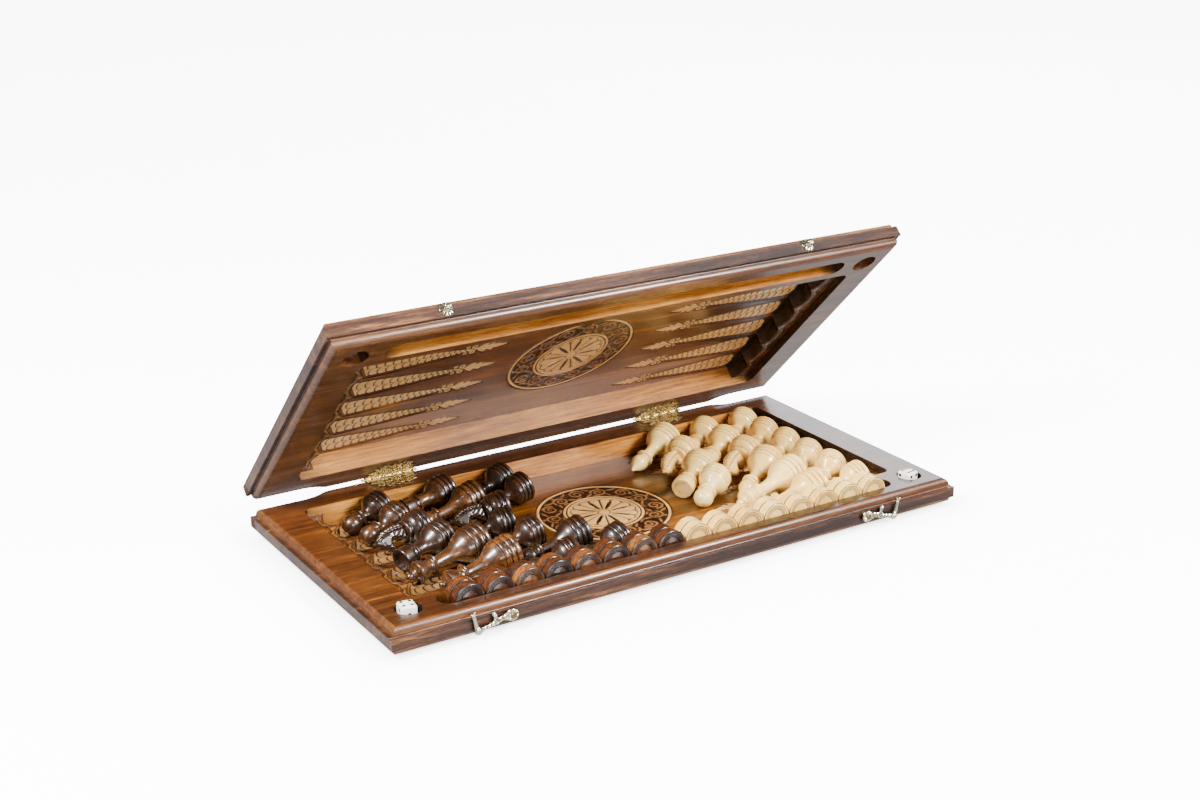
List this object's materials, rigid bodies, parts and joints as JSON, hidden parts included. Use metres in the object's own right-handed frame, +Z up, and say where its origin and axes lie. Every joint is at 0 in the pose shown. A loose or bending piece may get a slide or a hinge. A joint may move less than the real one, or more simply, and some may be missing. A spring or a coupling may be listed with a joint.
{
  "type": "games compendium box",
  "caption": "Folding wooden chess and backgammon case of hinged trays with hook latches, holding turned chessmen, draughts and dice.",
  "frame": {"origin": "on the table, at the middle of the base tray's underside", "axes": "+X along the long side to the right, +Y from the latch side to the hinge side, +Z up; the lid is drawn open 45 degrees"},
  "size_m": [0.6, 0.3263, 0.2598],
  "materials": {
    "stained_frame_wood": "stained hardwood, satin lacquer, grain along the length of the case",
    "stained_board_wood": "stained and carved hardwood, satin lacquer",
    "antique_brass": "cast openwork, toned brass with bright edges",
    "polished_brass": "polished pale brass",
    "dark_draught_wood": "turned hardwood, red-brown stain, gloss lacquer",
    "light_draught_wood": "turned light hardwood, gloss lacquer",
    "dark_men_wood": "turned hardwood, near-black brown stain, gloss lacquer",
    "light_men_wood": "turned light hardwood, satin lacquer",
    "die_plastic": "ivory-white acrylic with black spots"
  },
  "bodies": {
    "base": {"base_frame": "stained_frame_wood", "base_game_board": "stained_board_wood", "hinge_base_leaf_left": "antique_brass", "hinge_base_leaf_right": "antique_brass", "hinge_pin_left": "antique_brass", "hinge_pin_right": "antique_brass", "hinge_base_screws": "antique_brass", "hook_screws": "polished_brass"},
    "lid": {"lid_frame": "stained_frame_wood", "lid_game_board": "stained_board_wood", "hinge_lid_leaf_left": "antique_brass", "hinge_lid_leaf_right": "antique_brass", "hinge_lid_screws": "antique_brass", "lid_catch_left": "polished_brass", "lid_catch_right": "polished_brass"},
    "hook_left": {"hook_left": "polished_brass"},
    "hook_right": {"hook_right": "polished_brass"},
    "dark_pawns": {"dark_pawns": "dark_men_wood"},
    "dark_rooks": {"dark_rooks": "dark_men_wood"},
    "dark_knights": {"dark_knights": "dark_men_wood"},
    "dark_bishops": {"dark_bishops": "dark_men_wood"},
    "dark_queen": {"dark_queen": "dark_men_wood"},
    "dark_king": {"dark_king": "dark_men_wood"},
    "light_pawns": {"light_pawns": "light_men_wood"},
    "light_rooks": {"light_rooks": "light_men_wood"},
    "light_knights": {"light_knights": "light_men_wood"},
    "light_bishops": {"light_bishops": "light_men_wood"},
    "light_queen": {"light_queen": "light_men_wood"},
    "light_king": {"light_king": "light_men_wood"},
    "dark_draughts": {"dark_draughts": "dark_draught_wood"},
    "light_draughts": {"light_draughts": "light_draught_wood"},
    "die_left": {"die_left": "die_plastic"},
    "die_right": {"die_right": "die_plastic"}
  },
  "joints": [
    {"name": "lid_fold", "type": "hinge", "parent": "base", "child": "lid", "pos_m": [0, 0.1513, 0.0283], "axis": [-1, 0, 0], "range_deg": [-45, 135]},
    {"name": "hook_left_swing", "type": "hinge", "parent": "base", "child": "hook_left", "pos_m": [-0.19, -0.1522, 0.0146], "axis": [0, 1, 0], "range_deg": [-6, 88.4]},
    {"name": "hook_right_swing", "type": "hinge", "parent": "base", "child": "hook_right", "pos_m": [0.19, -0.1522, 0.0146], "axis": [0, -1, 0], "range_deg": [-6, 88.4]},
    {"name": "dark_pawns_lift", "type": "slide", "parent": "base", "child": "dark_pawns", "axis": [0, 0, 1], "range_m": [0, 0.03]},
    {"name": "dark_rooks_lift", "type": "slide", "parent": "base", "child": "dark_rooks", "axis": [0, 0, 1], "range_m": [0, 0.03]},
    {"name": "dark_knights_lift", "type": "slide", "parent": "base", "child": "dark_knights", "axis": [0, 0, 1], "range_m": [0, 0.03]},
    {"name": "dark_bishops_lift", "type": "slide", "parent": "base", "child": "dark_bishops", "axis": [0, 0, 1], "range_m": [0, 0.03]},
    {"name": "dark_queen_lift", "type": "slide", "parent": "base", "child": "dark_queen", "axis": [0, 0, 1], "range_m": [0, 0.03]},
    {"name": "dark_king_lift", "type": "slide", "parent": "base", "child": "dark_king", "axis": [0, 0, 1], "range_m": [0, 0.03]},
    {"name": "light_pawns_lift", "type": "slide", "parent": "base", "child": "light_pawns", "axis": [0, 0, 1], "range_m": [0, 0.03]},
    {"name": "light_rooks_lift", "type": "slide", "parent": "base", "child": "light_rooks", "axis": [0, 0, 1], "range_m": [0, 0.03]},
    {"name": "light_knights_lift", "type": "slide", "parent": "base", "child": "light_knights", "axis": [0, 0, 1], "range_m": [0, 0.03]},
    {"name": "light_bishops_lift", "type": "slide", "parent": "base", "child": "light_bishops", "axis": [0, 0, 1], "range_m": [0, 0.03]},
    {"name": "light_queen_lift", "type": "slide", "parent": "base", "child": "light_queen", "axis": [0, 0, 1], "range_m": [0, 0.03]},
    {"name": "light_king_lift", "type": "slide", "parent": "base", "child": "light_king", "axis": [0, 0, 1], "range_m": [0, 0.03]},
    {"name": "dark_draughts_lift", "type": "slide", "parent": "base", "child": "dark_draughts", "axis": [0, 0, 1], "range_m": [0, 0.02]},
    {"name": "light_draughts_lift", "type": "slide", "parent": "base", "child": "light_draughts", "axis": [0, 0, 1], "range_m": [0, 0.02]},
    {"name": "die_left_lift", "type": "slide", "parent": "base", "child": "die_left", "axis": [0, 0, 1], "range_m": [0, 0.02]},
    {"name": "die_right_lift", "type": "slide", "parent": "base", "child": "die_right", "axis": [0, 0, 1], "range_m": [0, 0.02]}
  ]
}
